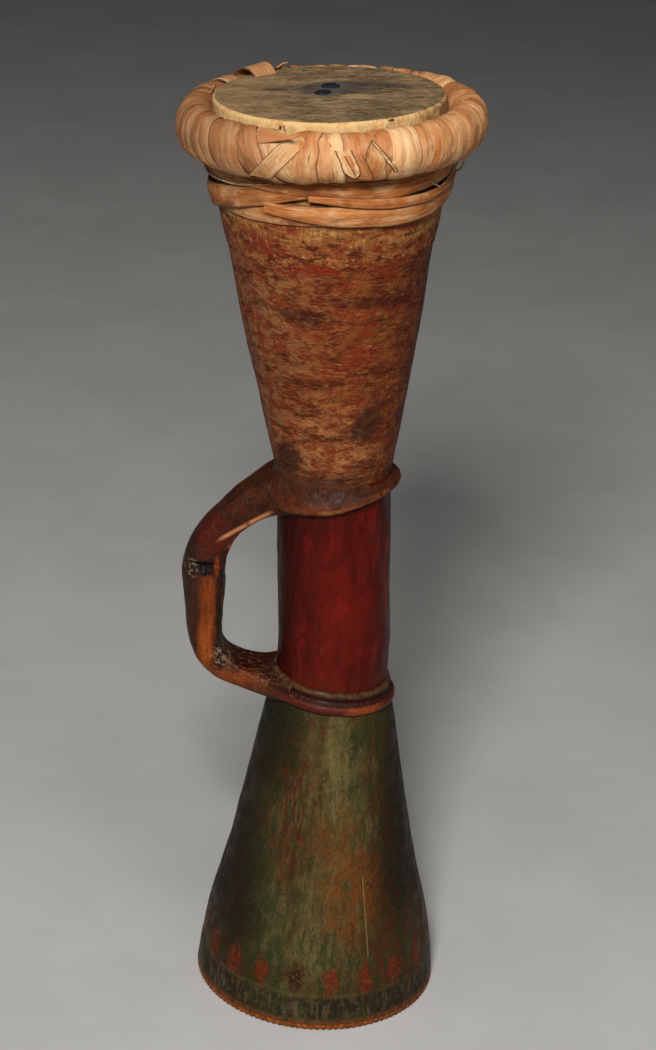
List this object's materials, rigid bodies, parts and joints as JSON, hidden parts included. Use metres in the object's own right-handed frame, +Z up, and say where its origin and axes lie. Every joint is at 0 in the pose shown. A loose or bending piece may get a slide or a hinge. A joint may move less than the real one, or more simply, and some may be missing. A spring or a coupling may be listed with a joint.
{
  "type": "hourglass hand drum",
  "caption": "Tall one-headed hourglass hand drum carved with a side handle, its skin held by a strip-wound ring and flat bindings, with wax lumps on the skin.",
  "frame": {"origin": "centre of the foot rim, on the surface the drum stands on", "axes": "+Z up from the foot to the skin, -X towards the handle, +Y towards the back when the handle is at the left"},
  "size_m": [0.2057, 0.1944, 0.6444],
  "materials": {
    "carved_wood": "hand-carved, painted and worn, satin",
    "rawhide": "scraped rawhide, matte",
    "tuning_wax": "dark pressed wax, satin",
    "split_cane": "peeled cane",
    "bast_packing": "loose plant fibre",
    "bast_wrap": "dry bast strip, satin",
    "bast_binding": "dry bast strip, matte",
    "bast_twine": "twisted plant fibre"
  },
  "bodies": {
    "root": {"drum_shell": "carved_wood", "drum_skin": "rawhide", "tuning_wax_1": "tuning_wax", "tuning_wax_2": "tuning_wax", "cane_hoop_lower": "split_cane", "cane_hoop_upper": "split_cane", "ring_packing": "bast_packing", "binding_twine": "bast_twine", "ring_wrap_1": "bast_wrap", "ring_wrap_2": "bast_wrap", "ring_wrap_3": "bast_wrap", "ring_wrap_4": "bast_wrap", "ring_wrap_5": "bast_wrap", "ring_wrap_6": "bast_wrap", "ring_wrap_7": "bast_wrap", "ring_wrap_8": "bast_wrap", "binding_strip_1": "bast_binding", "binding_strip_2": "bast_binding", "binding_strip_3": "bast_binding", "binding_strip_4": "bast_binding"}
  },
  "joints": []
}
